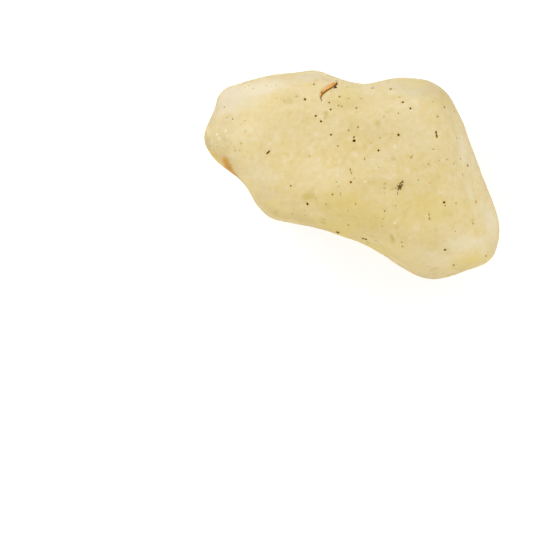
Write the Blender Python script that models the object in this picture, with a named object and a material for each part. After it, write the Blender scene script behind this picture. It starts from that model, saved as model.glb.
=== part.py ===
"""Raw desert glass: one wind-worn lump of pale yellow natural glass, lying on its flat underside.

Run it with blender --background --python part.py, or from Blender's text editor.
Lengths are metres, and +Z is up. The origin is on the surface that the stone rests on, under the middle of
its box. The stone is bent from a closed box of cells: its widest line gives the outline seen from above, and
worn faces shape the top and the underside. Broad hollows, swells and one old gouge break them up.
"""

import math

import bmesh
import bpy
import numpy as np
from mathutils import Vector, noise

MM = 0.001

# Driving sizes
LENGTH = 34.0 * MM
ROUND_IN_PLAN = 4.6
ROUND_IN_SIDE = 2.35
RIDGE_SOFTNESS = 0.24 * MM
HALF_EDGE = 2.9 * MM
WORN_OFF_BASE = 0.24 * MM

# Rounds of smoothing that wear the ridges down, and how far each point moves towards its neighbours
WEAR_ROUNDS = 2
WEAR_FACTOR = 0.5

# Cells along X, Y and Z of the box that the stone's surface is bent from
CELLS = (38, 27, 16)

# A point of the box within this of a side's plane counts as being on that side, and columns are told apart
# by their place on the box rounded to this many decimals
BOX_SKIN = 0.001
BOX_DECIMALS = 4

# Rounds of evening out, from column to column, when the outline is brought back onto the widest line
OUTLINE_EASING = 3

# The widest line seen from above, anticlockwise from the right-hand end: x, y and its height, in millimetres
WIDEST_LINE_MM = (
    (17.08, -6.6, 4.2), (16.74, -4.25, 4.0), (15.97, -2.15, 4.0), (14.90, 0.25, 4.0), (14.10, 2.7, 4.3),
    (13.15, 5.4, 4.7), (12.05, 7.65, 5.3), (11.20, 9.1, 5.9), (10.25, 9.95, 6.3), (8.90, 10.75, 6.6),
    (7.35, 11.05, 6.5), (5.05, 11.1, 6.1), (3.60, 10.85, 5.9), (2.35, 10.55, 5.6), (1.10, 10.47, 5.4),
    (-0.25, 10.75, 5.1), (-1.75, 11.2, 4.7), (-3.00, 11.65, 4.4), (-4.30, 12.05, 4.2), (-6.20, 11.8, 4.0),
    (-9.15, 11.5, 3.8), (-11.60, 10.95, 3.9), (-13.50, 10.35, 4.2), (-14.75, 9.8, 4.5), (-15.25, 9.15, 4.7),
    (-15.72, 7.7, 5.0), (-16.36, 6.1, 5.3), (-17.08, 4.4, 5.6), (-16.98, 3.7, 5.7), (-16.30, 2.65, 5.8),
    (-15.25, 1.3, 6.2), (-13.35, -0.15, 6.7), (-11.85, -1.9, 7.1), (-10.80, -3.6, 7.3), (-9.65, -4.75, 7.4),
    (-7.95, -5.4, 7.3), (-4.30, -6.1, 7.0), (-1.85, -6.85, 6.8), (0.85, -7.8, 6.7), (3.35, -9.1, 6.4),
    (5.40, -10.45, 6.1), (6.60, -11.2, 5.8), (7.90, -11.75, 5.5), (9.15, -12.05, 5.3), (10.20, -12.0, 5.2),
    (12.15, -11.45, 4.9), (14.25, -10.7, 4.6), (15.75, -10.15, 4.5), (16.45, -9.2, 4.4), (16.85, -7.7, 4.3),
)

# Worn faces of the top: a point on the face, its height, the way it falls in degrees from +X, and its slope
TOP_FACES = (
    (1.0, -3.0, 13.3, 150.0, 10.0),
    (4.0, -2.0, 13.2, 12.0, 7.0),
    (-8.4, 8.9, 10.8, 112.0, 47.0),
    (-12.1, 6.9, 10.7, 142.0, 47.0),
    (13.0, -2.5, 12.1, 15.5, 52.0),
    (12.2, 3.2, 12.1, 0.0, 50.0),
    (11.2, 7.3, 12.1, 38.0, 42.0),
    (12.4, -7.8, 11.8, 285.0, 34.0),
    (12.1, -9.4, 10.8, 285.0, 60.0),
    (-12.4, 4.6, 10.6, 178.0, 33.0),
    (-15.6, 4.4, 8.6, 176.0, 62.0),
    (-6.0, -3.9, 11.9, 238.0, 50.0),
    (3.4, -7.4, 12.8, 246.0, 50.0),
    (4.0, 8.2, 12.2, 84.0, 40.0),
    (-0.5, -4.6, 13.0, 250.0, 17.0),
)

# Worn faces of the underside, written the same way: each rises outwards
UNDER_FACES = (
    (1.3, 0.9, 0.0, 25.0, 2.6),
    (1.3, 0.9, 0.0, 205.0, 3.0),
    (1.3, 0.9, 0.0, 115.0, 3.4),
    (1.3, 0.9, 0.0, 300.0, 3.0),
    (9.5, -1.0, 0.2, 8.0, 17.0),
    (8.5, -7.4, 0.2, 300.0, 24.0),
    (-1.0, -3.4, 0.2, 248.0, 43.0),
    (-9.0, -0.2, 0.2, 212.0, 36.0),
    (-9.5, 6.5, 0.2, 140.0, 20.0),
    (1.6, 7.4, 0.2, 84.0, 38.0),
)

# Broad hollows (negative) and swells (positive): centre, radius and depth, in millimetres
RELIEF = (
    ((2.2, 10.4, 9.0), 4.2, -0.55),
    ((-5.0, 2.0, 12.2), 5.5, -0.30),
    ((5.6, 2.6, 12.6), 4.6, -0.32),
    ((1.0, -4.0, 12.9), 4.4, 0.30),
    ((9.5, -8.6, 10.5), 3.6, 0.25),
    ((-12.5, 6.8, 10.0), 2.6, -0.25),
    ((14.6, -4.0, 8.5), 3.4, -0.30),
    ((-7.8, 10.2, 7.8), 3.0, -0.25),
    ((2.5, -8.6, 7.5), 4.0, -0.50),
    ((-12.6, 0.0, 6.8), 3.2, -0.35),
    ((13.6, 4.0, 6.0), 3.8, -0.40),
    ((-11.2, 10.4, 4.8), 3.4, -0.30),
    ((8.4, -10.4, 3.4), 3.2, -0.40),
    ((-3.6, 11.4, 4.0), 3.2, 0.30),
    ((-4.5, -5.2, 3.0), 3.4, -0.45),
    ((9.0, 2.0, 1.0), 4.0, -0.30),
    ((-8.0, 4.0, 1.0), 4.2, -0.30),
)

# Wavering of the surface: size of a wave and its height
WAVES = ((6.5 * MM, 0.34 * MM), (2.6 * MM, 0.12 * MM))

# Shallow bowls that blown sand has worn side by side: their size, and their depth on the top and elsewhere
BOWL_SIZE = 4.4 * MM
BOWL_DEPTH_ON_TOP = 0.16 * MM
BOWL_DEPTH = 0.42 * MM

# The old gouge beside the far edge: its line seen from above, in millimetres, and the groove's sizes
GOUGE_LINE_MM = ((-3.56, 8.71), (-3.50, 9.17), (-2.93, 9.74), (-2.06, 10.20), (-1.72, 10.55))
GOUGE_HALF_WIDTH = 0.40 * MM
GOUGE_DEPTH = 0.34 * MM

# Part of a half wave that the groove's width follows from end to end, which leaves both ends narrow
GOUGE_TAPER = (0.10, 0.85)

# Cells within the margin of the line are each divided this many times along their edges
GOUGE_MARGIN = 0.75 * MM
GOUGE_CUTS = 3


def closed_curve(points, steps=12):
    """Points of a smooth closed curve through the given ones (a Catmull-Rom spline)."""
    count = len(points)
    curve = []
    for i in range(count):
        before, start, end, after = (points[(i + k) % count] for k in (-1, 0, 1, 2))
        for t in np.arange(steps) / steps:
            curve.append(
                0.5 * (2 * start + (end - before) * t
                       + (2 * before - 5 * start + 4 * end - after) * t ** 2
                       + (3 * start - before - 3 * end + after) * t ** 3)
            )
    return np.array(curve)


def widest_line():
    """Angles in order round the origin, with the widest line's reach and height at each, for np.interp."""
    points = closed_curve(np.array(WIDEST_LINE_MM) * MM)
    angles = np.arctan2(points[:, 1], points[:, 0])
    order = np.argsort(angles)
    return angles[order], np.hypot(points[:, 0], points[:, 1])[order], points[order, 2]


def smooth_least(values, softness=RIDGE_SOFTNESS):
    """The least of several heights, rounded where they cross."""
    values = np.asarray(values)
    least = values.min()
    return least - softness * math.log(np.exp((least - values) / softness).sum())


def face_height(face, x, y, sign):
    """Height at x, y of a worn face. It falls away outwards with sign -1, and rises with +1."""
    at_x, at_y, height, bearing, slope = face
    way = math.radians(bearing)
    out = (x - at_x * MM) * math.cos(way) + (y - at_y * MM) * math.sin(way)
    return height * MM + sign * math.tan(math.radians(slope)) * out


def top_height(x, y):
    """Height of the top at x, y, where its worn faces alone shape it."""
    return smooth_least([face_height(face, x, y, -1) for face in TOP_FACES])


def under_height(x, y):
    """Height of the underside at x, y, where its worn faces alone shape it."""
    return -smooth_least([-face_height(face, x, y, 1) for face in UNDER_FACES])


def bent_point(direction, line):
    """Where a direction from the stone's middle meets its surface, before the relief."""
    angles, reach, heights = line
    angle = math.atan2(direction.y, direction.x)
    share = math.hypot(direction.x, direction.y) ** (2 / ROUND_IN_PLAN)
    lift = abs(direction.z) ** (2 / ROUND_IN_SIDE)
    out = np.interp(angle, angles, reach, period=math.tau) * share
    x, y = out * math.cos(angle), out * math.sin(angle)
    middle = heights.mean()
    side = middle + (np.interp(angle, angles, heights, period=math.tau) - middle) * share ** 2
    if direction.z > 0:
        far = -smooth_least([-top_height(x, y), -side - HALF_EDGE])
    else:
        far = smooth_least([under_height(x, y), side - HALF_EDGE])
    return Vector((x, y, side + (far - side) * lift))


def box_of_cells():
    """A closed cube of quads from -1 to 1, with its own number of cells along each axis."""
    mesh = bmesh.new()
    bmesh.ops.create_cube(mesh, size=2)
    for axis, cells in enumerate(CELLS):
        along = [e for e in mesh.edges if abs(e.verts[0].co[axis] - e.verts[1].co[axis]) > 1]
        bmesh.ops.subdivide_edges(mesh, edges=along, cuts=cells - 1, use_grid_fill=True)
    return mesh


def bend_to_stone(mesh, line):
    """Moves each point of the box onto the stone's worn faces."""
    for vert in mesh.verts:
        spread = Vector(math.tan(c * math.pi / 4) for c in vert.co)
        vert.co = bent_point(spread.normalized(), line)


def relief_at(point, normal):
    """How far the surface stands out (positive) or in at a point."""
    height = 0.0
    for centre, radius, depth in RELIEF:
        near = (point - Vector(centre) * MM).length / (radius * MM)
        if near < 1:
            height += depth * MM * (1 - near ** 2) ** 2
    for size, rise in WAVES:
        height += rise * noise.noise(point / size)
    to_bowl = min(1.0, noise.voronoi(point / BOWL_SIZE)[0][0])
    facing_up = max(0.0, normal.z)
    bowl_depth = BOWL_DEPTH + (BOWL_DEPTH_ON_TOP - BOWL_DEPTH) * facing_up
    return height + bowl_depth * to_bowl ** 2


def work_relief(mesh):
    """Adds the hollows, swells and wavering along the surface's own normals."""
    mesh.normal_update()
    moves = [vert.normal * relief_at(vert.co, vert.normal) for vert in mesh.verts]
    for vert, move in zip(mesh.verts, moves):
        vert.co += move
    axes = {"use_axis_x": True, "use_axis_y": True, "use_axis_z": True}
    for _ in range(WEAR_ROUNDS):
        bmesh.ops.smooth_vert(mesh, verts=mesh.verts, factor=WEAR_FACTOR, **axes)


def side_columns(mesh):
    """The upright columns of points on the box's four sides, before it is bent."""
    columns = {}
    for vert in mesh.verts:
        if max(abs(vert.co.x), abs(vert.co.y)) > 1 - BOX_SKIN:
            spot = tuple(round(c, BOX_DECIMALS) for c in vert.co.xy)
            columns.setdefault(spot, []).append(vert)
    return list(columns.values())


def fit_outline(mesh, columns, line):
    """Brings the outline seen from above back onto the widest line, which the relief has moved a little."""
    angles, reach, _ = line

    def place(vert):
        angle = math.atan2(vert.co.y, vert.co.x)
        return angle, vert.co.xy.length / np.interp(angle, angles, reach, period=math.tau)

    widest = np.array(sorted(max(map(place, column), key=lambda found: found[1]) for column in columns))
    turns = np.array([place(vert)[0] for vert in mesh.verts])
    shares = widest[:, 1]
    for _ in range(OUTLINE_EASING):
        shares = (np.roll(shares, 1) + 2 * shares + np.roll(shares, -1)) / 4
    for vert, factor in zip(mesh.verts, np.interp(turns, widest[:, 0], shares, period=math.tau)):
        vert.co.xy /= factor


def place_on_gouge(point):
    """Seen from above, how far a point is from the gouge's line, and how far along that line (0 to 1)."""
    line = [Vector(p) * MM for p in GOUGE_LINE_MM]
    whole = sum((end - start).length for start, end in zip(line, line[1:]))
    nearest, place, run_up = math.inf, 0.0, 0.0
    for start, end in zip(line, line[1:]):
        run = end - start
        along = max(0.0, min(1.0, (point.xy - start).dot(run) / run.length_squared))
        distance = (point.xy - start - run * along).length
        if distance < nearest:
            nearest, place = distance, (run_up + along * run.length) / whole
        run_up += run.length
    return nearest, place


def cut_gouge(mesh):
    """Divides the cells round the gouge more finely, and presses its tapering groove into them."""
    near = [
        face for face in mesh.faces
        if face.normal.z > 0 and place_on_gouge(face.calc_center_median())[0] < GOUGE_MARGIN
    ]
    edges = list({edge for face in near for edge in face.edges})
    bmesh.ops.subdivide_edges(mesh, edges=edges, cuts=GOUGE_CUTS, use_grid_fill=True)
    mesh.normal_update()
    moves = {}
    for vert in mesh.verts:
        distance, place = place_on_gouge(vert.co)
        taper = math.sqrt(math.sin(math.pi * np.interp(place, (0, 1), GOUGE_TAPER)))
        share = distance / (GOUGE_HALF_WIDTH * taper)
        if share < 1 and vert.normal.z > 0:
            moves[vert] = vert.normal * GOUGE_DEPTH * taper * (1 - share ** 2)
    for vert, move in moves.items():
        vert.co -= move


def seat(mesh):
    """Brings the stone to its stated length, centres it, and wears its base flat on the resting surface."""
    points = np.array([vert.co for vert in mesh.verts])
    low, high = points.min(axis=0), points.max(axis=0)
    scale = LENGTH / (high[0] - low[0])
    middle = (low + high) / 2
    middle[2] = low[2] + WORN_OFF_BASE
    for vert in mesh.verts:
        vert.co = (vert.co - Vector(middle)) * scale
        vert.co.z = max(vert.co.z, 0.0)


def glass_material():
    """Frosted, see-through, pale honey yellow."""
    material = bpy.data.materials.new("desert_glass")
    material.use_nodes = True
    shader = material.node_tree.nodes["Principled BSDF"]
    shader.inputs["Base Color"].default_value = (0.74, 0.60, 0.29, 1)
    shader.inputs["Metallic"].default_value = 0.0
    shader.inputs["Roughness"].default_value = 0.45
    shader.inputs["IOR"].default_value = 1.462
    shader.inputs["Transmission Weight"].default_value = 0.8
    return material


def desert_glass():
    """The whole stone, as one closed body."""
    line = widest_line()
    mesh = box_of_cells()
    columns = side_columns(mesh)
    bend_to_stone(mesh, line)
    work_relief(mesh)
    fit_outline(mesh, columns, line)
    cut_gouge(mesh)
    seat(mesh)
    bmesh.ops.triangulate(mesh, faces=mesh.faces)
    data = bpy.data.meshes.new("desert_glass")
    mesh.to_mesh(data)
    mesh.free()
    data.shade_smooth()
    data.materials.append(glass_material())
    stone = bpy.data.objects.new("desert_glass", data)
    bpy.context.scene.collection.objects.link(stone)
    return stone


for old in list(bpy.data.objects):
    bpy.data.objects.remove(old)
desert_glass()
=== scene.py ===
"""Raw desert glass: the looks of one wind-worn lump of honey-yellow natural glass.

The frosted body, the grains lodged in its pits, the specks and bruises inside it and the iron-stained gouge
are meshes; the colour clouds, the rust stain and the fine frosting are in the materials, with painted light
and shade in some clouds, in parts of the stain and on the steep sides. Lengths are metres.
"""

import math

import bmesh
import bpy
import numpy as np
from mathutils import Matrix, Vector, noise
from mathutils.bvhtree import BVHTree


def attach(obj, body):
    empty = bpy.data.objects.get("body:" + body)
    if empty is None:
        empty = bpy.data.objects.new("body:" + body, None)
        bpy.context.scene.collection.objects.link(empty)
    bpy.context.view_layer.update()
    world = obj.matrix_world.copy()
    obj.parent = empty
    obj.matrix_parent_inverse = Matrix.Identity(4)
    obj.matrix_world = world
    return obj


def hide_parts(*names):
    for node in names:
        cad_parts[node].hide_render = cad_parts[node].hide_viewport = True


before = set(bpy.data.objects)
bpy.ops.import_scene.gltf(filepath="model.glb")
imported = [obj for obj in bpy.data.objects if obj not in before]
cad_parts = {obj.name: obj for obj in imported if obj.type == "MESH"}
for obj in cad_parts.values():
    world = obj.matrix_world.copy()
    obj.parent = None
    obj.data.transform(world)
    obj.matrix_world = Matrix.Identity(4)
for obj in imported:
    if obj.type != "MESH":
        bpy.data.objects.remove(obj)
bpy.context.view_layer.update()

MM = 0.001
STONE = "desert_glass"

# The photo: its size, the pixel above the stone's origin, and a pixel's measure at the widest line's height
PHOTO_SIDE = 533
ORIGIN_PIXEL = (351.95, 174.7)
PIXEL = 0.115 * MM
PIXEL_PLANE = 5.3 * MM

# The camera: its height above the resting surface, its sensor's width, and the nearest and farthest it sees
CAMERA_HEIGHT = 0.9
SENSOR = 36.0
CAMERA_CLIP = (0.01, 20.0)

# The body's refinement: how near welded points are, how alike two triangles joined in a pair are, levels of
# subdivision, and rounds of bringing the smooth surface back onto the solid's own points
WELD = 1e-6
PAIR_ANGLE = 0.7
PAIR_SHAPE = 0.9
SMOOTH_LEVELS = 2
HOLD_ROUNDS = 3

# Gentle wavering that blown sand leaves: size of a wave and its height
FINE_WAVES = ((1.30 * MM, 0.036 * MM), (0.50 * MM, 0.016 * MM))

# Below FLAT_BASE the wavering dies out, and points up to ON_BASE lie on the flat base itself
FLAT_BASE = 0.25 * MM
ON_BASE = 0.001 * MM

# Open pits round black and brown grains: their depth in shares of the grain's width, how much longer and
# wider than the grain they are, and how far they reach, as a share of that
PIT_DEPTHS = {"black": 0.55, "brown": 0.40}
PIT_EXTRA = 0.15 * MM
PIT_REACH = 0.75

# Cells within the margin, in shares of a pit's length, are each cut this many times
PIT_MARGIN = 1.2
PIT_CUTS = 1

# Pits are looked up in a grid of cubes of this side, out to this many of their lengths
PIT_CELL = 1.0 * MM
PIT_SEARCH = 2.0

# Marks read off the photo, in its pixels: x, y, width, length, and the bearing of the length in degrees.
# Black grains in open pits
BLACK_GRAINS = (
    (305.0, 99.3, 2.3, 2.9, -40), (315.7, 115.8, 1.9, 2.1, 0), (321.0, 121.2, 2.0, 2.3, -20),
    (330.9, 134.7, 1.8, 2.0, 60), (354.0, 137.1, 1.5, 2.0, 60), (354.2, 140.5, 2.5, 2.8, 10),
    (378.5, 150.3, 2.0, 2.2, 0), (402.8, 102.0, 2.3, 2.5, 0), (410.4, 108.2, 1.9, 2.2, 80),
    (398.4, 134.9, 2.1, 2.6, 70), (436.2, 132.3, 1.9, 3.6, 80), (436.8, 135.8, 1.9, 3.8, 100),
    (268.2, 152.2, 1.8, 6.6, 45), (307.4, 204.0, 2.2, 3.4, 95), (444.0, 202.4, 2.1, 2.3, 0),
    (445.0, 250.0, 2.2, 2.4, 0), (337.8, 232.6, 2.8, 3.2, 20), (363.0, 238.6, 2.0, 3.2, 0),
    (365.7, 239.3, 2.0, 3.0, -20), (350.9, 182.1, 2.0, 2.1, 0),
    (384.7, 211.1, 1.2, 1.5, 0), (290.7, 185.9, 1.4, 1.7, 0), (330.7, 109.4, 1.7, 1.9, 0),
)

# Grains wedged in the broad end of the gouge: a black one, and red-brown ones
WEDGED_BLACK = ((335.5, 87.9, 2.8, 3.5, -45),)
WEDGED_RED = (
    (335.5, 85.5, 2.2, 4.4, 52), (336.8, 84.0, 2.3, 2.8, 60), (321.6, 92.3, 1.5, 1.8, 0),
)

# Brown and olive grains in shallow pits
BROWN_GRAINS = (
    (390.7, 88.8, 2.5, 2.8, 0), (398.4, 113.1, 1.6, 1.9, 0), (356.4, 107.8, 2.1, 2.4, 0),
    (364.5, 158.8, 1.5, 3.0, 90), (437.6, 116.5, 1.6, 2.5, 0), (444.7, 107.0, 2.0, 2.3, 0),
    (313.8, 84.0, 2.3, 2.7, 0), (339.6, 96.5, 2.2, 2.6, 0), (338.7, 105.3, 1.6, 2.2, 0),
    (329.3, 102.5, 2.0, 2.3, 0), (348.6, 130.2, 1.6, 1.9, 0), (337.7, 146.0, 1.6, 1.9, 0),
    (332.4, 194.3, 2.1, 2.3, 0), (340.5, 194.1, 1.2, 4.8, 92), (355.7, 203.8, 1.5, 3.4, 90),
    (348.1, 225.3, 2.1, 2.5, 0), (429.2, 214.4, 1.6, 3.4, 95), (429.4, 218.4, 1.6, 3.4, 85),
    (411.6, 156.8, 1.6, 5.0, 65), (397.6, 193.9, 1.1, 3.0, 90), (468.0, 165.3, 2.4, 3.0, 80),
    (460.7, 158.8, 1.6, 1.9, 0), (232.4, 118.7, 1.8, 2.1, 0), (486.1, 256.0, 1.8, 2.2, 0),
    (453.8, 265.3, 2.2, 3.0, 90), (401.6, 242.3, 1.7, 2.0, 0), (445.2, 205.5, 1.6, 2.0, 0),
    (357.9, 127.2, 1.9, 2.6, 0), (372.5, 87.8, 1.6, 3.0, 0), (300.4, 226.9, 1.5, 2.0, 0),
    (350.3, 169.6, 1.4, 3.8, 95), (351.4, 173.0, 1.6, 3.4, 100), (341.8, 106.3, 1.5, 1.8, 0),
    (321.6, 100.2, 1.5, 2.0, 90), (336.3, 81.2, 1.5, 2.2, 90), (333.6, 83.6, 1.9, 2.1, 0),
)

# Tan and olive dots, most of them just under the surface
TAN_DOTS = (
    (276.4, 98.1, 2.1, 2.3, 0), (283.9, 100.9, 1.8, 2.1, 0), (296.3, 96.4, 2.0, 3.4, 0),
    (224.5, 107.0, 1.9, 2.1, 0), (227.2, 116.6, 2.4, 3.0, 0), (244.8, 120.5, 1.8, 2.8, 0),
    (210.0, 146.0, 1.8, 2.1, 0), (235.0, 150.4, 2.1, 2.5, 0), (239.3, 150.0, 1.7, 1.9, 0),
    (309.3, 156.2, 1.7, 2.0, 0), (384.5, 183.3, 2.1, 3.0, 20), (384.5, 188.2, 2.0, 2.3, 0),
    (384.6, 192.9, 1.2, 1.6, 0), (391.6, 189.1, 1.9, 2.2, 0), (304.8, 210.4, 1.6, 2.2, 0),
    (304.8, 215.2, 1.7, 2.0, 0), (325.8, 204.2, 2.1, 2.5, 0), (292.3, 213.5, 1.5, 1.8, 0),
    (315.7, 198.0, 1.9, 2.8, 0), (376.7, 217.6, 1.8, 2.7, 0), (383.4, 218.9, 1.5, 1.8, 0),
    (382.0, 226.0, 2.2, 2.5, 0), (402.6, 246.5, 1.9, 2.3, 0), (455.3, 231.4, 1.3, 1.6, 0),
    (456.0, 203.0, 1.5, 1.9, 0), (473.2, 223.6, 2.6, 3.1, 0), (428.8, 164.2, 1.9, 2.2, 0),
    (454.0, 163.1, 2.1, 2.5, 0), (447.2, 159.5, 1.6, 1.8, 0), (439.4, 160.6, 1.2, 1.6, 0),
    (462.8, 174.5, 2.1, 2.6, 0), (433.3, 149.3, 1.1, 2.9, 0), (391.2, 137.6, 1.1, 1.9, 90),
    (392.3, 133.4, 1.6, 1.9, 0), (379.7, 137.6, 1.8, 2.2, 0), (370.4, 143.3, 1.5, 1.9, 0),
    (383.9, 116.5, 1.9, 2.3, 0), (399.3, 97.2, 1.9, 2.8, 0), (348.7, 98.4, 1.9, 3.8, 0),
    (361.3, 98.5, 1.9, 3.8, 0), (378.5, 167.3, 2.0, 2.6, 0), (336.4, 182.0, 1.6, 1.9, 0),
    (338.2, 186.0, 2.0, 2.8, 0), (354.1, 178.2, 1.8, 2.5, 0), (348.0, 210.5, 1.6, 1.9, 0),
    (395.8, 205.4, 1.5, 1.8, 0), (245.4, 130.7, 1.7, 2.1, 0), (216.8, 147.0, 1.6, 1.9, 0),
    (425.9, 113.5, 1.2, 1.5, 0), (418.4, 180.0, 1.7, 2.0, 0), (454.4, 111.5, 2.3, 2.8, 0),
    (376.0, 240.5, 1.5, 1.9, 0), (368.1, 242.9, 2.0, 2.6, 0), (346.7, 87.0, 1.8, 2.8, 0),
    (433.0, 101.8, 1.8, 2.2, 0), (228.8, 146.3, 2.2, 2.4, 0), (456.8, 138.2, 1.6, 1.9, 0),
    (241.3, 143.2, 1.8, 2.1, 0), (245.0, 87.8, 1.5, 2.2, 60), (249.0, 85.7, 1.4, 2.0, 0),
    (253.0, 88.6, 1.6, 2.1, 0), (266.3, 85.7, 1.2, 2.6, 80), (272.0, 86.5, 1.3, 2.2, 0),
    (276.0, 85.0, 1.4, 1.9, 0),
)

# Orange dots
ORANGE_DOTS = ((476.0, 202.0, 2.4, 5.0, 112), (429.8, 182.4, 2.3, 4.4, 20))

# Clouds of fine black grains in the glass: x, y, width, length, bearing and number of grains
DARK_CLOUDS = (
    (400.1, 186.3, 5.2, 7.4, 62, 100), (402.8, 181.7, 2.4, 3.8, 66, 10), (398.2, 190.4, 3.2, 3.2, 70, 4),
)
CLOUD_GRAIN = (0.05 * MM, 0.12 * MM)

# How tightly grains and flakes lie round the middle of their cloud, and how many times longer than wide
CLOUD_TIGHTNESS = 4
CLOUD_STRETCH = (1.0, 1.3)

# White bruises, each a cloud of fine pale flakes: x, y, width, length and bearing. Then the number of
# flakes for each square pixel, and their widths
BRUISES = (
    (337.4, 172.0, 1.6, 6.4, 105), (390.6, 178.1, 2.6, 4.4, 100), (365.4, 182.0, 2.6, 3.0, 0),
    (428.6, 240.8, 1.8, 3.0, 80), (409.8, 238.3, 1.5, 6.4, 70), (395.8, 222.7, 2.8, 3.8, 30),
    (226.0, 130.5, 2.6, 4.6, 80), (217.0, 134.0, 2.4, 4.0, 60), (219.0, 139.0, 2.2, 3.4, 110),
    (211.6, 140.4, 1.8, 5.0, 95), (274.7, 178.3, 2.6, 4.0, 0), (377.4, 167.6, 2.6, 6.0, 20),
    (395.2, 147.0, 1.8, 9.0, 88), (226.4, 137.6, 1.4, 3.4, 70), (461.4, 176.6, 1.8, 9.0, 100),
    (422.6, 151.4, 1.0, 3.6, 5), (282.0, 174.0, 1.6, 3.4, 60), (448.0, 240.0, 1.6, 3.0, 30),
)
BRUISE_FLAKES = 1.5
FLAKE = (0.04 * MM, 0.08 * MM)

# The iron-stained gouge in photo pixels, from thin end to broad end: its filling, and the dark line below, a
# crack with painted shadow in it
FILLING_PIXELS = (
    (320.6, 96.2), (320.9, 93.9), (322.6, 91.7), (325.3, 89.3), (328.3, 87.1), (331.1, 85.4), (333.5, 84.2),
    (335.6, 83.2),
)
CRACK_AND_SHADE_PIXELS = (
    (321.6, 100.6), (321.0, 99.0), (320.9, 97.3), (321.7, 95.5), (323.5, 93.4), (327.1, 90.6), (331.2, 88.3),
    (334.0, 86.7), (335.6, 85.4), (336.8, 84.0),
)

# The rust stain, a smear and the rim below it, with painted shadow and painted light among them: lines in
# photo pixels with half width, tone and strength
RUST = (0.80, 0.40, 0.02, 1)
UMBER = (0.68, 0.29, 0.01, 1)
AMBER = (1.0, 0.69, 0.01, 1)
OCHRE = (0.90, 0.68, 0.15, 1)
PEACH_PAINTED_LIGHT = (1.0, 0.84, 0.56, 1)
RUST_STAINS_AND_PAINTED_SHADING = (
    ((211.0, 150.0), (234.0, 174.0), 8.0, OCHRE, 0.55),
    ((224.0, 157.0), (226.0, 161.0), 4.0, RUST, 0.55),
    ((224.6, 160.0), (230.8, 170.0), 7.0, RUST, 0.80),
    ((224.4, 158.5), (230.2, 169.0), 4.6, UMBER, 0.65),
    ((227.5, 166.5), (231.5, 171.0), 3.0, UMBER, 0.75),
    ((230.5, 170.0), (235.5, 175.5), 3.6, UMBER, 0.60),
    ((202.0, 142.0), (212.0, 154.8), 3.4, AMBER, 0.50),
    ((206.0, 146.6), (217.0, 161.2), 3.4, AMBER, 0.60),
    ((211.0, 153.6), (222.0, 166.4), 3.4, AMBER, 0.60),
    ((216.0, 160.0), (226.0, 169.6), 3.4, AMBER, 0.50),
    # Partly rust, partly painted shadow: the dark umber line along the rim where the neighbouring stone
    # touches
    ((224.0, 167.0), (232.0, 172.2), 3.0, UMBER, 0.95),
    ((231.0, 171.6), (238.0, 177.6), 3.0, UMBER, 0.85),
    ((238.0, 177.6), (242.5, 182.4), 2.0, UMBER, 0.55),
    ((313.0, 81.6), (319.0, 79.0), 2.3, RUST, 0.35),
    ((319.0, 79.0), (333.0, 80.5), 2.3, RUST, 0.35),
    # Painted light: a pale peach patch that lifts the shade the filling casts in the glass
    ((321.0, 91.0), (334.0, 83.0), 6.5, PEACH_PAINTED_LIGHT, 0.80),
)

# Soft olive clouds in the glass, given in the same way
OLIVE = (0.54, 0.45, 0.05, 1)
OLIVE_CLOUDS = (
    ((306.0, 196.6), (310.4, 196.0), 8.0, OLIVE, 0.60),
    ((325.6, 112.8), (326.2, 114.2), 4.0, OLIVE, 0.62),
    ((324.8, 117.0), (324.8, 118.0), 2.6, OLIVE, 0.60),
    ((377.5, 122.4), (377.9, 124.0), 4.6, OLIVE, 0.50),
    ((392.7, 157.5), (394.7, 159.5), 4.0, OLIVE, 0.50),
    ((321.4, 222.6), (325.0, 222.6), 3.0, OLIVE, 0.65),
    ((322.6, 219.4), (325.2, 219.4), 2.4, OLIVE, 0.60),
    ((276.3, 212.2), (276.3, 213.8), 3.4, OLIVE, 0.30),
    ((471.8, 221.0), (473.0, 219.8), 3.4, OLIVE, 0.40),
    ((433.3, 269.0), (434.5, 269.0), 4.4, OLIVE, 0.36),
    ((391.3, 235.4), (392.0, 237.4), 3.0, OLIVE, 0.60),
    ((392.4, 239.0), (393.6, 241.8), 3.2, OLIVE, 0.60),
    ((393.4, 97.6), (394.6, 97.6), 4.0, OLIVE, 0.25),
    ((285.0, 102.2), (291.0, 100.8), 4.4, OLIVE, 0.25),
    ((327.0, 206.6), (333.0, 205.4), 5.0, OLIVE, 0.22),
    ((351.0, 125.2), (353.0, 122.8), 4.0, OLIVE, 0.22),
    ((444.0, 213.6), (450.0, 212.4), 6.0, OLIVE, 0.18),
    ((399.6, 190.0), (401.4, 183.0), 7.0, OLIVE, 0.25),
)

# A dark grain is smaller than its blurred image in the photo, and a faint dot a little larger. A collar is
# wider than its grain by this factor
GRAIN_SHARE = {
    "black": 0.82, "brown": 0.88, "tan": 1.20, "orange": 1, "wedged black": 0.95, "wedged red": 0.95,
}
COLLAR = 1.5
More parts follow.
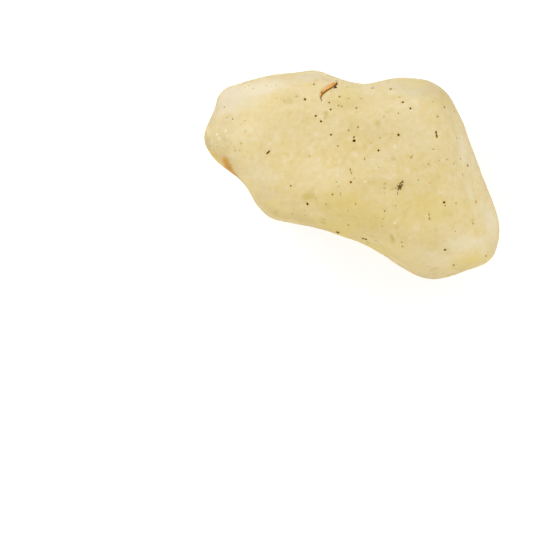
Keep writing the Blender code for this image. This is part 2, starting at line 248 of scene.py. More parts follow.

# Broad soft tints of the glass, its own clouds and painted light and shade: lines in photo pixels with half
# width, a paler or deeper tone and strength
PALE = (0.985, 0.945, 0.84, 1)
BRIGHT = (1.0, 0.90, 0.50, 1)
DEEP = (0.81, 0.69, 0.19, 1)
DUSKY = (0.70, 0.58, 0.24, 1)
GREY_PALE = (0.85, 0.80, 0.66, 1)
# Painted light: the pale bands on faces turned to the upper left, the pale strip on the right bevel and the
# bright
# patches low on the left stand for light falling there. The deep and dusky patches low down are partly
# painted shade.
TINTS_AND_PAINTED_SHADING = (
    ((222.0, 104.0), (240.0, 100.0), 17.0, PALE, 0.70),
    ((222.0, 93.0), (252.0, 86.0), 7.0, PALE, 0.60),
    ((236.0, 95.0), (292.0, 82.0), 11.0, PALE, 0.80),
    ((292.0, 80.0), (322.0, 76.0), 8.0, GREY_PALE, 0.60),
    ((242.0, 104.0), (264.0, 95.0), 13.0, GREY_PALE, 0.40),
    ((220.0, 128.0), (250.0, 122.0), 10.0, DUSKY, 0.16),
    ((255.0, 172.0), (274.0, 180.0), 14.0, PALE, 0.35),
    ((318.0, 178.0), (352.0, 166.0), 9.0, PALE, 0.20),
    ((352.0, 168.0), (402.0, 152.0), 10.0, PALE, 0.35),
    ((404.0, 120.0), (434.0, 154.0), 20.0, PALE, 0.24),
    ((388.0, 88.0), (434.0, 91.0), 13.0, PALE, 0.48),
    ((461.0, 126.0), (463.0, 172.0), 4.5, PALE, 0.50),
    ((463.0, 172.0), (478.0, 222.0), 5.0, PALE, 0.50),
    ((484.0, 200.0), (494.0, 238.0), 9.0, PALE, 0.60),
    ((440.0, 246.0), (492.0, 240.0), 10.0, PALE, 0.60),
    ((402.0, 248.0), (446.0, 262.0), 14.0, PALE, 0.40),
    ((376.0, 242.0), (420.0, 258.0), 14.0, BRIGHT, 0.45),
    ((400.0, 262.0), (428.0, 273.0), 8.0, BRIGHT, 0.45),
    ((398.0, 82.0), (430.0, 85.0), 7.0, BRIGHT, 0.50),
    ((209.0, 132.0), (214.0, 148.0), 8.0, BRIGHT, 0.45),
    ((262.0, 203.0), (298.0, 221.0), 13.0, BRIGHT, 1.0),
    ((234.0, 172.0), (262.0, 198.0), 9.0, BRIGHT, 0.60),
    ((338.0, 91.0), (356.0, 94.0), 10.0, DEEP, 0.45),
    ((326.0, 101.0), (350.0, 99.0), 9.0, DEEP, 0.30),
    ((449.0, 112.0), (454.0, 138.0), 5.0, DUSKY, 0.30),
    ((454.0, 138.0), (456.0, 176.0), 4.0, DUSKY, 0.20),
    ((246.0, 116.0), (262.0, 108.0), 11.0, DUSKY, 0.20),
    ((276.0, 100.0), (300.0, 98.0), 9.0, DUSKY, 0.28),
    ((330.0, 104.0), (394.0, 100.0), 11.0, DUSKY, 0.38),
    ((322.0, 190.0), (376.0, 206.0), 17.0, DUSKY, 0.28),
    ((340.0, 184.0), (412.0, 186.0), 11.0, DUSKY, 0.38),
    ((362.0, 125.0), (376.0, 143.0), 13.0, DUSKY, 0.18),
    ((278.0, 168.0), (306.0, 176.0), 12.0, DUSKY, 0.16),
    ((306.0, 208.0), (400.0, 218.0), 26.0, DEEP, 0.32),
    ((400.0, 198.0), (456.0, 212.0), 17.0, DEEP, 0.42),
    ((428.0, 217.0), (452.0, 222.0), 10.0, DEEP, 0.35),
    ((446.0, 266.0), (486.0, 259.0), 10.0, DEEP, 0.65),
    ((308.0, 219.0), (364.0, 238.0), 12.0, DEEP, 0.85),
    ((352.0, 240.0), (396.0, 256.0), 8.0, DEEP, 0.90),
    ((312.0, 198.0), (356.0, 204.0), 15.0, DEEP, 0.26),
    ((384.0, 100.0), (404.0, 100.0), 9.0, DUSKY, 0.25),
    ((452.0, 204.0), (474.0, 204.0), 9.0, DEEP, 0.26),
)

# How a tint's edge wanders, by its largest half width in photo pixels: fineness, and reach in millimetres
WANDER = {3.0: (4.0, 0.10), 7.0: (1.8, 0.25), 30.0: (0.7, 0.80)}
WANDER_DETAIL = 3.0

# How deep they reach, in millimetres: a tint right through the stone, rust and olive clouds not far. Then the
# share of the way in at which a patch has its full strength
THROUGH = 1000.0
SOAKED = 1.3
PATCH_FULL = 0.8

# Painted shading of the steep sides, a deeper and warmer tone: a face starts to take it where the upright
# part of its normal falls below the first number, and has it at full strength where it stands upright
PAINTED_RIM_TONE = (0.92, 0.70, 0.12, 1)
PAINTED_RIM_SLOPE = 0.40
PAINTED_RIM_STRENGTH = 0.50

# The glass: its honey tones, and its speckle, each a tone with the mottle's range and the most of it
HONEY = (0.875, 0.745, 0.385, 1)
LIGHT_HONEY = (0.92, 0.815, 0.55, 1)
HONEY_CLOUDS = (0.36, 0.64)
SPECKLE = ((PALE, (0.50, 0.75, 0.8)), (DUSKY, (0.50, 0.25, 0.6)))

# How clear the glass is, its refractive index and shine, and the colour that it absorbs by the metre
TRANSMISSION = 0.70
GLASS_IOR = 1.462
GLASS_SHINE = 0.3
ABSORBED = (0.80, 0.68, 0.10, 1)
ABSORPTION_DENSITY = 34.0

# The frosting's two noises: the input that sizes it, its detail and roughness, and the output that it gives
FROST_NOISES = (("Grain", 4.0, 0.65, "Height"), ("Mottle", 5.0, 0.6, "Mask"))

# The frosting's sizes, in waves to the millimetre: on the glass, for the glass's speckle, and on the grains
GLASS_FROST = {"Grain": 5.0, "Mottle": 0.16}
SPECKLE_FROST = {"Mottle": 1.6}
GRAIN_FROST = {"Grain": 14.0, "Mottle": 1.7}

# The frosted surface: its least and greatest roughness, and its bump's strength and height
GLASS_ROUGHNESS = (0.40, 0.56)
FROST_BUMP = 0.8
FROST_HEIGHT = 0.04 * MM

# Materials of the grains: their dark and light tones and their roughness
GRAIN_LOOKS = {
    "iron_black": ((0.014, 0.006, 0.001, 1), (0.06, 0.026, 0.003, 1), 0.7),
    "ochre_dust": ((0.42, 0.24, 0.03, 1), (0.55, 0.36, 0.07, 1), 0.7),
    "olive_brown": ((0.33, 0.23, 0.045, 1), (0.50, 0.37, 0.095, 1), 0.7),
    "tan_sand": ((0.55, 0.45, 0.14, 1), (0.69, 0.58, 0.24, 1), 0.7),
    "rust": ((0.68, 0.42, 0.14, 1), (0.80, 0.56, 0.24, 1), 0.7),
    "green_black": ((0.05, 0.032, 0.003, 1), (0.13, 0.085, 0.012, 1), 0.7),
    "white_bruise": ((0.92, 0.89, 0.80, 1), (0.97, 0.95, 0.90, 1), 0.6),
    "rust_crust": ((0.69, 0.325, 0.07, 1), (0.84, 0.475, 0.16, 1), 0.7),
    "rust_dark": ((0.18, 0.070, 0.004, 1), (0.28, 0.120, 0.012, 1), 0.7),
    "red_brown": ((0.09, 0.022, 0.003, 1), (0.20, 0.06, 0.010, 1), 0.7),
}
GRAIN_TONES = (0.35, 0.65)
GRAIN_SHINE = 0.05
ROUGHNESS_SPREAD = 0.1

# Each kind of grain: its piece and material, how deep its middle lies and how thick it is, both in shares
# of its width, how lumpy it is, and how finely it is divided
LOOSE_GRAINS = (
    ("black", "black_grains", "iron_black", 0.10, 0.8, 0.5, 2),
    ("collar", "brown_collars", "ochre_dust", 0.12, 0.30, 0.5, 2),
    ("brown", "brown_grains", "olive_brown", 0.15, 0.7, 0.5, 2),
    ("tan", "tan_grains", "tan_sand", 0.14, 0.6, 0.4, 2),
    ("orange", "orange_grains", "rust", 0.15, 0.6, 0.4, 2),
    ("dark cloud", "dark_cloud", "green_black", 0.0, 0.8, 0.5, 1),
    ("bruise", "pale_bruises", "white_bruise", 0.0, 0.5, 0.4, 1),
)
WEDGED_GRAINS = (
    ("wedged black", "wedged_black_grain", "iron_black", -0.15, 0.8, 0.5, 2),
    ("wedged red", "wedged_red_grains", "red_brown", -0.15, 0.8, 0.5, 2),
)

# Fineness of a grain's lumps, and how far the noise moves from grain to grain, so that no two are alike
LUMP_FINENESS = 3.1
LUMP_SHIFT = 9000

# Strands in the gouge: piece, material, line, half width and height, how deep the middle lies, and the thin
# end's share of the width
STRANDS = (
    ("rust_in_gouge", "rust_crust", FILLING_PIXELS, 0.30 * MM, 0.05 * MM, 0.0, 0.5),
    # The dark line is a crack with painted shadow: a dark strand where the gouge's shade falls
    ("gouge_shadow_line", "rust_dark", CRACK_AND_SHADE_PIXELS, 0.095 * MM, 0.06 * MM, -0.04 * MM, 0.95),
)

# A strand's points from one given point to the next, and round it
STRAND_STEPS = 5
STRAND_SIDES = 10

# The part of a half wave that its width follows from end to end, the power that blunts its ends, and its
# least share of the width. Then how much it wavers, as a share, and how finely
STRAND_WAVE = (0.04, 0.90)
STRAND_POWER = 0.6
STRAND_LEAST = 0.04
STRAND_WAVER = 0.25
STRAND_FINENESS = 6000

# Loose grains on the sides and the underside, which the photo doesn't show, follow the same mix and sizes.
# A face is unseen where it looks down, with the upright part of its normal below UNSEEN_SLOPE
UNSEEN_SEED = 11
UNSEEN_GRAINS = {"black": 26, "brown": 44, "tan": 46, "bruise": 26}
UNSEEN_WIDTH = (0.13 * MM, 0.30 * MM)
UNSEEN_STRETCH = (1.0, 1.9)
UNSEEN_SLOPE = -0.30

# The studio: brightness of the surroundings, then the floor, which glows and lies just below the stone
WHITE = (1, 1, 1, 1)
SURROUNDINGS = 0.82
FLOOR_HALF_SIDE = 3.0
FLOOR_GAP = 0.03 * MM
FLOOR_GREY = (0.40, 0.40, 0.40, 1)
FLOOR_ROUGHNESS = 0.7
FLOOR_GLOW = 0.68

# Lights: place, size and power. And how often light is followed, in all and through the glass
LIGHTS = (
    ("soft_key", (-0.42, 0.42, 0.30), 0.30, 2.2),
    ("soft_fill", (0.42, 0.30, 0.30), 0.40, 0.7),
)
BOUNCES = 24
GLASS_BOUNCES = 20


def beside(pixel):
    """The point of a photo pixel at the height of the stone's widest line."""
    return Vector(((pixel[0] - ORIGIN_PIXEL[0]) * PIXEL, (ORIGIN_PIXEL[1] - pixel[1]) * PIXEL, PIXEL_PLANE))


def camera_place():
    """Straight above the middle of the photo's frame."""
    place = beside((PHOTO_SIDE / 2, PHOTO_SIDE / 2))
    place.z = CAMERA_HEIGHT
    return place


def photo_ray(x, y):
    """The point and direction of sight of a photo pixel, from the camera down onto the stone."""
    start = camera_place()
    return start, (beside((x, y)) - start).normalized()


def make_camera():
    """A long lens straight above, with the photo's own frame."""
    data = bpy.data.cameras.new("camera")
    data.sensor_width = SENSOR
    data.lens = SENSOR * (CAMERA_HEIGHT - PIXEL_PLANE) / (PHOTO_SIDE * PIXEL)
    data.clip_start, data.clip_end = CAMERA_CLIP
    camera = bpy.data.objects.new("camera", data)
    camera.location = camera_place()
    bpy.context.scene.collection.objects.link(camera)
    bpy.context.scene.camera = camera


def quads_of_node(node):
    """The node's mesh with its points welded and its triangles joined in pairs."""
    mesh = bmesh.new()
    mesh.from_mesh(node.data)
    bmesh.ops.remove_doubles(mesh, verts=mesh.verts, dist=WELD)
    bmesh.ops.join_triangles(
        mesh, faces=mesh.faces, angle_face_threshold=PAIR_ANGLE, angle_shape_threshold=PAIR_SHAPE,
        cmp_seam=False, cmp_sharp=False, cmp_uvs=False, cmp_vcols=False, cmp_materials=False,
    )
    mesh.verts.index_update()
    points = [v.co.copy() for v in mesh.verts]
    faces = [[v.index for v in f.verts] for f in mesh.faces]
    mesh.free()
    data = bpy.data.meshes.new("stone_cage")
    data.from_pydata(points, [], faces)
    return data


def smoothed(data, levels, rounds):
    """A bmesh of the data after that many levels of subdivision.

    In each round the cage is pushed out, so that the smooth surface passes through the cage's first points,
    but for those of the flat base.
    """
    cage = bpy.data.objects.new("stone_cage", data)
    bpy.context.scene.collection.objects.link(cage)
    smooth = cage.modifiers.new("smooth", "SUBSURF")
    smooth.levels = smooth.render_levels = levels
    wanted = np.empty(len(data.vertices) * 3)
    data.vertices.foreach_get("co", wanted)
    held = wanted.copy()
    raised = np.repeat(wanted[2::3] > ON_BASE, 3)
    for _ in range(rounds):
        shape = cage.evaluated_get(bpy.context.evaluated_depsgraph_get()).data
        now = np.empty(len(shape.vertices) * 3)
        shape.vertices.foreach_get("co", now)
        held += (wanted - now[:len(wanted)]) * raised
        data.vertices.foreach_set("co", held)
        data.update()
    mesh = bmesh.new()
    mesh.from_object(cage, bpy.context.evaluated_depsgraph_get())
    bpy.data.objects.remove(cage)
    bpy.data.meshes.remove(data)
    return mesh


def waver(mesh):
    """Fine wavering of the whole surface, but for the flat base."""
    mesh.normal_update()
    for vert in mesh.verts:
        lift = sum(rise * noise.noise(vert.co / size) for size, rise in FINE_WAVES)
        clear = min(1.0, vert.co.z / FLAT_BASE)
        vert.co += vert.normal * lift * clear
        vert.co.z = max(vert.co.z, 0.0)


def surface_tree(mesh):
    """The surface as it is now, for finding where a line of sight meets it."""
    mesh.normal_update()
    return BVHTree.FromBMesh(mesh)


def seen_mark(tree, mark, share):
    """Where a mark of the photo lies on the stone: its place, normal, length direction and sizes."""
    x, y, width, length, bearing = mark[:5]
    place, normal, _, _ = tree.ray_cast(*photo_ray(x, y))
    if place is None:
        return None
    turn = math.radians(bearing)
    along = Vector((math.cos(turn), math.sin(turn), 0))
    along = (along - normal * along.dot(normal)).normalized()
    size = share * PIXEL
    return {"place": place, "normal": normal, "along": along, "width": width * size, "length": length * size}


def unseen_marks(mesh, count, random):
    """Marks at random on the faces that the photo doesn't show, by area."""
    faces = [f for f in mesh.faces if f.normal.z < UNSEEN_SLOPE and f.calc_center_median().z > FLAT_BASE]
    areas = np.array([f.calc_area() for f in faces])
    marks = []
    for index in random.choice(len(faces), size=count, p=areas / areas.sum(), replace=False):
        face = faces[index]
        way = Vector(random.normal(size=3))
        way = (way - face.normal * way.dot(face.normal)).normalized()
        width = random.uniform(*UNSEEN_WIDTH)
        marks.append({
            "place": face.calc_center_median().copy(), "normal": face.normal.copy(), "along": way,
            "width": width, "length": width * random.uniform(*UNSEEN_STRETCH),
        })
    return marks


def cloud_of(mark, count, sizes, random):
    """Fine grains or flakes scattered round the middle of a mark, thinning out towards its edge."""
    side = mark["normal"].cross(mark["along"])
    grains = []
    for out, over in random.normal(size=(count, 2)) / CLOUD_TIGHTNESS:
        place = mark["place"] + mark["along"] * (out * mark["length"]) + side * (over * mark["width"])
        width = random.uniform(*sizes)
        grains.append(dict(mark, place=place, width=width, length=width * random.uniform(*CLOUD_STRETCH)))
    return grains


def marks_by_kind(mesh, tree, random):
    """Every grain and flake of the stone by kind, the seen ones first."""
    marks = {}
    for kind, seen in (("black", BLACK_GRAINS), ("brown", BROWN_GRAINS), ("tan", TAN_DOTS)):
        placed = [seen_mark(tree, mark, GRAIN_SHARE[kind]) for mark in seen]
        marks[kind] = [m for m in placed if m] + unseen_marks(mesh, UNSEEN_GRAINS[kind], random)
    marks["collar"] = [
        dict(m, width=COLLAR * m["width"], length=m["length"] + (COLLAR - 1) * m["width"])
        for m in marks["black"]
    ]
    for kind, seen in (("wedged black", WEDGED_BLACK), ("wedged red", WEDGED_RED), ("orange", ORANGE_DOTS)):
        marks[kind] = [seen_mark(tree, mark, GRAIN_SHARE[kind]) for mark in seen]
    marks["dark cloud"] = []
    for mark in DARK_CLOUDS:
        marks["dark cloud"] += cloud_of(seen_mark(tree, mark, 1), mark[5], CLOUD_GRAIN, random)
    bruises = [seen_mark(tree, mark, 1) for mark in BRUISES]
    bruises += unseen_marks(mesh, UNSEEN_GRAINS["bruise"], random)
    marks["bruise"] = []
    for mark in bruises:
        count = round(BRUISE_FLAKES * mark["width"] * mark["length"] / PIXEL ** 2)
        marks["bruise"] += cloud_of(mark, count, FLAKE, random)
    return marks


def sink_pits(mesh, pits):
    """Divides the cells round each open pit more finely and presses the pit in."""
    grid = {}
    for pit in pits:
        key = tuple(int(c // PIT_CELL) for c in pit["place"])
        for step in np.ndindex(3, 3, 3):
            grid.setdefault(tuple(k + s - 1 for k, s in zip(key, step)), []).append(pit)

    def close(point, margin):
        found = grid.get(tuple(int(c // PIT_CELL) for c in point), ())
        return [p for p in found if (point - p["place"]).length < margin * p["length"]]

    near = [f for f in mesh.faces if close(f.calc_center_median(), PIT_MARGIN)]
    edges = list({e for f in near for e in f.edges})
    bmesh.ops.subdivide_edges(mesh, edges=edges, cuts=PIT_CUTS, use_grid_fill=True)
    mesh.normal_update()
    for vert in mesh.verts:
        depth = 0.0
        for pit in close(vert.co, PIT_SEARCH):
            away = vert.co - pit["place"]
            along = away.dot(pit["along"]) / (PIT_REACH * pit["length"])
            across = (away - pit["along"] * away.dot(pit["along"])).length / (PIT_REACH * pit["width"])
            share = math.hypot(along, across)
            if share < 1:
                depth = max(depth, pit["deep"] * (1 - share ** 2) ** 2)
        if depth:
            vert.co -= vert.normal * depth


def object_of(mesh, name, material):
    """An object of the bmesh, shaded smooth, riding on the stone's body."""
    bmesh.ops.recalc_face_normals(mesh, faces=mesh.faces)
    data = bpy.data.meshes.new(name)
    mesh.to_mesh(data)
    mesh.free()
    data.shade_smooth()
    data.materials.append(material)
    piece = bpy.data.objects.new(name, data)
    bpy.context.scene.collection.objects.link(piece)
    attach(piece, "root")
    return piece


def add_grain(mesh, mark, sunk, thick, rough, fineness):
    """One lumpy grain: sunk is how deep its middle lies, and thick its height as a share of its width."""
    middle = mark["place"] - mark["normal"] * sunk
    side = mark["normal"].cross(mark["along"])
    turn = Matrix((mark["along"], side, mark["normal"])).transposed()
    made = bmesh.ops.create_icosphere(mesh, subdivisions=fineness, radius=0.5)
    sizes = Vector((mark["length"], mark["width"], mark["width"] * thick))
    shift = mark["place"] * LUMP_SHIFT
    for vert in made["verts"]:
        lump = 1 + rough * noise.noise(vert.co * LUMP_FINENESS + shift)
        vert.co = middle + turn @ Vector(c * s * lump for c, s in zip(vert.co, sizes))


def joined(marks, name, material, sunk, thick, rough, fineness):
    """All grains of one kind as one piece. sunk is in shares of a grain's width."""
    mesh = bmesh.new()
    for mark in marks:
        add_grain(mesh, mark, sunk * mark["width"], thick, rough, fineness)
    return object_of(mesh, name, material)


def smooth_line(points, steps):
    """Points along a smooth line through the given ones (a Catmull-Rom spline)."""
    ends = [2 * points[0] - points[1], *points, 2 * points[-1] - points[-2]]
    line = []
    for before, start, end, after in zip(ends, ends[1:], ends[2:], ends[3:]):
        for t in np.arange(steps) / steps:
            line.append(0.5 * (
                2 * start + (end - before) * t + (2 * before - 5 * start + 4 * end - after) * t ** 2
                + (3 * start - before - 3 * end + after) * t ** 3
            ))
    return line + [points[-1]]


def strand(tree, pixels, half_width, half_height, sunk, thin_end):
    """A tapering strand along a line of photo pixels on the stone. thin_end is its share of the width."""
    seats = [tree.ray_cast(*photo_ray(x, y)) for x, y in pixels]
    line = smooth_line([s[0] for s in seats], STRAND_STEPS)
    normals = smooth_line([s[1] for s in seats], STRAND_STEPS)
    mesh = bmesh.new()
    rings = []
    last = len(line) - 1
    wave_start, wave_length = STRAND_WAVE
    for i, (place, normal) in enumerate(zip(line, normals)):
        normal = normal.normalized()
        run = (line[min(i + 1, last)] - line[max(i - 1, 0)]).normalized()
        side = run.cross(normal).normalized()
        share = i / last
        wave = math.sin(math.pi * (wave_start + wave_length * share)) ** STRAND_POWER
        taper = max(STRAND_LEAST, wave * (thin_end + (1 - thin_end) * share))
        middle = place - normal * sunk
        wobble = 1 + STRAND_WAVER * noise.noise(place * STRAND_FINENESS)
        ring = []
        for k in range(STRAND_SIDES):
            turn = math.tau * k / STRAND_SIDES
            ring.append(mesh.verts.new(
                middle + side * (math.cos(turn) * half_width * taper * wobble)
                + normal * (math.sin(turn) * half_height * taper * wobble)
            ))
        rings.append(ring)
    for one, two in zip(rings, rings[1:]):
        for k in range(STRAND_SIDES):
            after = (k + 1) % STRAND_SIDES
            mesh.faces.new((one[k], one[after], two[after], two[k]))
    mesh.faces.new(rings[0])
    mesh.faces.new(rings[-1])
    return mesh


def new_material(name):
    """A material with its nodes, its links and its shader."""
    material = bpy.data.materials.new(name)
    material.use_nodes = True
    nodes = material.node_tree.nodes
    return material, nodes, material.node_tree.links, nodes["Principled BSDF"]


def fill(made, values):
    """Sets the inputs of a node by name."""
    for name, value in values.items():
        made.inputs[name].default_value = value


def node(nodes, kind, values=None, **settings):
    """A node of that kind with its own settings and the values of its inputs by name."""
    made = nodes.new(kind)
    for key, value in settings.items():
        setattr(made, key, value)
    fill(made, values or {})
    return made


def group_with(name, inputs, outputs):
    """An empty shader node group: its inputs are (name, type, default), its outputs (name, type)."""
    group = bpy.data.node_groups.new(name, "ShaderNodeTree")
    for label, kind, value in inputs:
        socket = group.interface.new_socket(name=label, in_out="INPUT", socket_type=kind)
        if value is not None:
            socket.default_value = value
    for label, kind in outputs:
        group.interface.new_socket(name=label, in_out="OUTPUT", socket_type=kind)
    entry = group.nodes.new("NodeGroupInput")
    leave = group.nodes.new("NodeGroupOutput")
    return group, entry, leave


def frosting_group():
    """Fine sand frosting: a height for bump, and a mottle between 0 and 1."""
    group, entry, leave = group_with(
        "sand_frosting",
        [
            ("Place", "NodeSocketVector", None), ("Grain", "NodeSocketFloat", 6.0),
            ("Mottle", "NodeSocketFloat", 0.7),
        ],
        [("Height", "NodeSocketFloat"), ("Mask", "NodeSocketFloat")],
    )
    for size, detail, roughness, given in FROST_NOISES:
        made = node(group.nodes, "ShaderNodeTexNoise", {"Detail": detail, "Roughness": roughness},
                    noise_dimensions="3D")
        group.links.new(entry.outputs["Place"], made.inputs["Vector"])
        group.links.new(entry.outputs[size], made.inputs["Scale"])
        group.links.new(made.outputs["Fac"], leave.inputs[given])
    return group


def in_millimetres(nodes, links):
    """The object's own coordinates in millimetres."""
    scale = node(nodes, "ShaderNodeVectorMath", {"Scale": 1 / MM}, operation="SCALE")
    links.new(nodes.new("ShaderNodeTexCoord").outputs["Object"], scale.inputs[0])
    return scale.outputs[0]


def frosted(nodes, links, place, frosting, sizes):
    """The frosting at the place, in the sizes given."""
    frost = node(nodes, "ShaderNodeGroup", sizes, node_tree=frosting)
    links.new(place, frost.inputs["Place"])
    return frost


def mix(nodes, links, factor, one, two):
    """A colour mix: one and two are colours or sockets."""
    made = node(nodes, "ShaderNodeMix", data_type="RGBA")
    for name, kind, value in (("Factor", "VALUE", factor), ("A", "RGBA", one), ("B", "RGBA", two)):
        socket = next(s for s in made.inputs if s.name == name and s.type == kind)
        if isinstance(value, bpy.types.NodeSocket):
            links.new(value, socket)
        else:
            socket.default_value = value
    return next(s for s in made.outputs if s.type == "RGBA")


def ramp(nodes, links, value, low, high, most=1.0):
    """The value stretched smoothly, so that low becomes 0 and high becomes the most given."""
    made = node(nodes, "ShaderNodeMapRange", {"From Min": low, "From Max": high, "To Max": most},
                interpolation_type="SMOOTHSTEP")
    links.new(value, made.inputs["Value"])
    return made.outputs["Result"]


def between(nodes, links, value, least, most):
    """The value from 0 to 1 brought evenly to between the least and the most."""
    made = node(nodes, "ShaderNodeMapRange", {"To Min": least, "To Max": most})
    links.new(value, made.inputs["Value"])
    return made.outputs["Result"]


def laid_on(tree, patches):
    """The patches with their ends in millimetres, at the height of the stone there or of its nearest rim."""
    laid = []
    for *ends, half, tone, strength in patches:
        for i, pixel in enumerate(ends):
            seen = tree.ray_cast(*photo_ray(*pixel))[0]
            ends[i] = (seen or beside(pixel)) / MM
            if seen is None:
                ends[i].z = tree.find_nearest(beside(pixel))[0].z / MM
        laid.append((*ends, half, tone, strength))
    return laid


def wandering(nodes, links, place, fineness, reach):
    """The place shifted about by noise: its fineness, and the largest shift in millimetres."""
    swirl = node(nodes, "ShaderNodeTexNoise", {"Scale": fineness, "Detail": WANDER_DETAIL},
                 noise_dimensions="3D")
    links.new(place, swirl.inputs["Vector"])
    centred = node(nodes, "ShaderNodeVectorMath", operation="SUBTRACT")
    centred.inputs[1].default_value = (0.5, 0.5, 0.5)
    links.new(swirl.outputs["Color"], centred.inputs[0])
    shifted = node(nodes, "ShaderNodeVectorMath", operation="MULTIPLY_ADD")
    shifted.inputs[1].default_value = (2 * reach, 2 * reach, 2 * reach)
    links.new(centred.outputs[0], shifted.inputs[0])
    links.new(place, shifted.inputs[2])
    return shifted.outputs[0]


def soft_patch(nodes, links, place, start, end, width, deep, strength):
    """A mask that fades out round a line, in millimetres: the strength on it, 0 at its half width."""
    run = end - start
    patch = node(nodes, "ShaderNodeTexGradient", gradient_type="SPHERICAL")
    patch.texture_mapping.vector_type = "TEXTURE"
    patch.texture_mapping.translation = (start + end) / 2
    patch.texture_mapping.rotation = run.to_track_quat("X", "Z").to_euler()
    patch.texture_mapping.scale = (run.length / 2 + width, width, deep)
    links.new(place, patch.inputs["Vector"])
    return ramp(nodes, links, patch.outputs["Fac"], 0.0, PATCH_FULL, strength)


def tinted(nodes, links, wander, colour, patches, deep):
    """The colour with soft patches over it. wander holds the shifted places by their widest half width."""
    for start, end, half, tone, strength in patches:
        around = next(w for widest, w in wander.items() if half <= widest)
        mask = soft_patch(nodes, links, around, start, end, half * PIXEL / MM, deep, strength)
        colour = mix(nodes, links, mask, colour, tone)
    return colour


def upright_part(nodes, links):
    """How much of a face's normal is upright, up or down: 1 on a level face, 0 on a steep one."""
    facing = node(nodes, "ShaderNodeSeparateXYZ")
    links.new(nodes.new("ShaderNodeNewGeometry").outputs["Normal"], facing.inputs[0])
    tilt = node(nodes, "ShaderNodeMath", operation="ABSOLUTE")
    links.new(facing.outputs["Z"], tilt.inputs[0])
    return tilt.outputs[0]


def frosted_honey_glass(frosting, tree):
    """The stone: see-through honey glass, frosted by sand, with pale clouds and a rust stain, both partly
    painted light and shade, and painted shading on its steep sides.
    """
    material, nodes, links, shader = new_material("frosted_honey_glass")
    place = in_millimetres(nodes, links)
    frost = frosted(nodes, links, place, frosting, GLASS_FROST)
    clouds = ramp(nodes, links, frost.outputs["Mask"], *HONEY_CLOUDS)
    colour = mix(nodes, links, clouds, HONEY, LIGHT_HONEY)
    speckle = frosted(nodes, links, place, frosting, SPECKLE_FROST)
    for tone, reach in SPECKLE:
        colour = mix(nodes, links, ramp(nodes, links, speckle.outputs["Mask"], *reach), colour, tone)
    wander = {half: wandering(nodes, links, place, *kind) for half, kind in WANDER.items()}
    # Broad tints, partly the glass's own clouds and partly painted light and shade
    level = [(beside(start) / MM, beside(end) / MM, *rest) for start, end, *rest in TINTS_AND_PAINTED_SHADING]
    colour = tinted(nodes, links, wander, colour, level, THROUGH)
    # Olive clouds and the rust stain, with painted shadow on the rim and painted light by the gouge's filling
    colour = tinted(nodes, links, wander, colour, laid_on(tree, OLIVE_CLOUDS + RUST_STAINS_AND_PAINTED_SHADING), SOAKED)
    # Painted shading: steep faces take the deeper, warmer rim tone by how far their normal leans
    steep = ramp(nodes, links, upright_part(nodes, links), PAINTED_RIM_SLOPE, 0.0, PAINTED_RIM_STRENGTH)
    links.new(mix(nodes, links, steep, colour, PAINTED_RIM_TONE), shader.inputs["Base Color"])
    links.new(between(nodes, links, frost.outputs["Mask"], *GLASS_ROUGHNESS), shader.inputs["Roughness"])
    bump = node(nodes, "ShaderNodeBump", {"Strength": FROST_BUMP, "Distance": FROST_HEIGHT})
    links.new(frost.outputs["Height"], bump.inputs["Height"])
    links.new(bump.outputs["Normal"], shader.inputs["Normal"])
    shader.inputs["Transmission Weight"].default_value = TRANSMISSION
    shader.inputs["IOR"].default_value = GLASS_IOR
    shader.inputs["Specular IOR Level"].default_value = GLASS_SHINE
    depth = node(nodes, "ShaderNodeVolumeAbsorption")
    depth.inputs["Color"].default_value = ABSORBED
    depth.inputs["Density"].default_value = ABSORPTION_DENSITY
    links.new(depth.outputs["Volume"], nodes["Material Output"].inputs["Volume"])
    return material


def grain_material(name, dark, light, roughness, frosting):
    """Mineral grains: two tones mottled grain by grain."""
    material, nodes, links, shader = new_material(name)
    frost = frosted(nodes, links, in_millimetres(nodes, links), frosting, GRAIN_FROST)
    tone = ramp(nodes, links, frost.outputs["Mask"], *GRAIN_TONES)
    links.new(mix(nodes, links, tone, dark, light), shader.inputs["Base Color"])
    shader.inputs["Specular IOR Level"].default_value = GRAIN_SHINE
    least, most = roughness - ROUGHNESS_SPREAD, roughness + ROUGHNESS_SPREAD
    links.new(between(nodes, links, frost.outputs["Height"], least, most), shader.inputs["Roughness"])
    return material


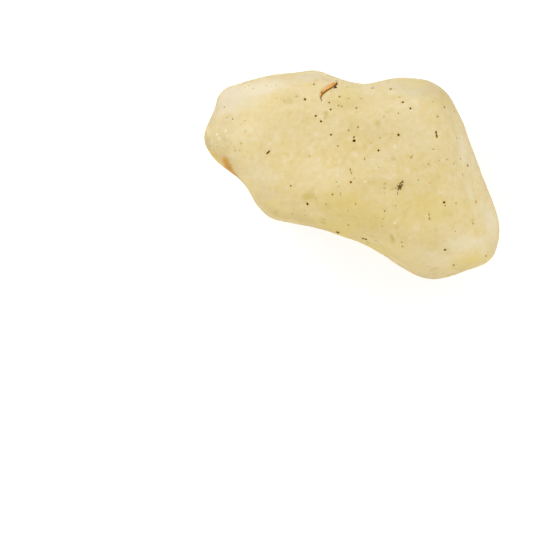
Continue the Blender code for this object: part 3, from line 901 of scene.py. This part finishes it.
def make_floor():
    """A plain pale floor, a white board that glows softly from below."""
    mesh = bmesh.new()
    bmesh.ops.create_grid(mesh, x_segments=1, y_segments=1, size=FLOOR_HALF_SIDE)
    material, _, _, shader = new_material("white_board")
    fill(shader, {
        "Base Color": FLOOR_GREY, "Roughness": FLOOR_ROUGHNESS, "Emission Color": WHITE,
        "Emission Strength": FLOOR_GLOW,
    })
    data = bpy.data.meshes.new("floor")
    mesh.to_mesh(data)
    mesh.free()
    data.materials.append(material)
    floor = bpy.data.objects.new("floor", data)
    floor.location.z = -FLOOR_GAP
    bpy.context.scene.collection.objects.link(floor)


def area_light(name, place, size, energy):
    """A round soft light that faces the stone."""
    data = bpy.data.lights.new(name, "AREA")
    data.shape = "DISK"
    data.size = size
    data.energy = energy
    light = bpy.data.objects.new(name, data)
    light.location = place
    light.rotation_euler = (-Vector(place)).to_track_quat("-Z", "Y").to_euler()
    bpy.context.scene.collection.objects.link(light)


def light_studio():
    """Even white surroundings with one large soft light from the upper left."""
    world = bpy.data.worlds.new("studio")
    world.use_nodes = True
    fill(world.node_tree.nodes["Background"], {"Color": WHITE, "Strength": SURROUNDINGS})
    bpy.context.scene.world = world
    for light in LIGHTS:
        area_light(*light)
    scene = bpy.context.scene
    scene.view_settings.view_transform = "Standard"
    scene.cycles.max_bounces = BOUNCES
    scene.cycles.transmission_bounces = GLASS_BOUNCES


def build():
    """The whole picture: camera, light and floor, then the stone and what is on and in it."""
    make_camera()
    light_studio()
    make_floor()

    body = smoothed(quads_of_node(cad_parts[STONE]), SMOOTH_LEVELS, HOLD_ROUNDS)
    waver(body)
    tree = surface_tree(body)
    marks = marks_by_kind(body, tree, np.random.default_rng(UNSEEN_SEED))
    sink_pits(body, [
        dict(m, deep=deep * m["width"], length=m["length"] + PIT_EXTRA, width=m["width"] + PIT_EXTRA)
        for kind, deep in PIT_DEPTHS.items() for m in marks[kind]
    ])

    frosting = frosting_group()
    stone = object_of(body, "glass_stone", frosted_honey_glass(frosting, tree))
    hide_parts(STONE)

    looks = {name: grain_material(name, *look, frosting) for name, look in GRAIN_LOOKS.items()}
    for kind, name, look, *form in LOOSE_GRAINS:
        joined(marks[kind], name, looks[look], *form)
    for name, look, pixels, *form in STRANDS:
        object_of(strand(tree, pixels, *form), name, looks[look])
    for kind, name, look, *form in WEDGED_GRAINS:
        joined(marks[kind], name, looks[look], *form)


build()
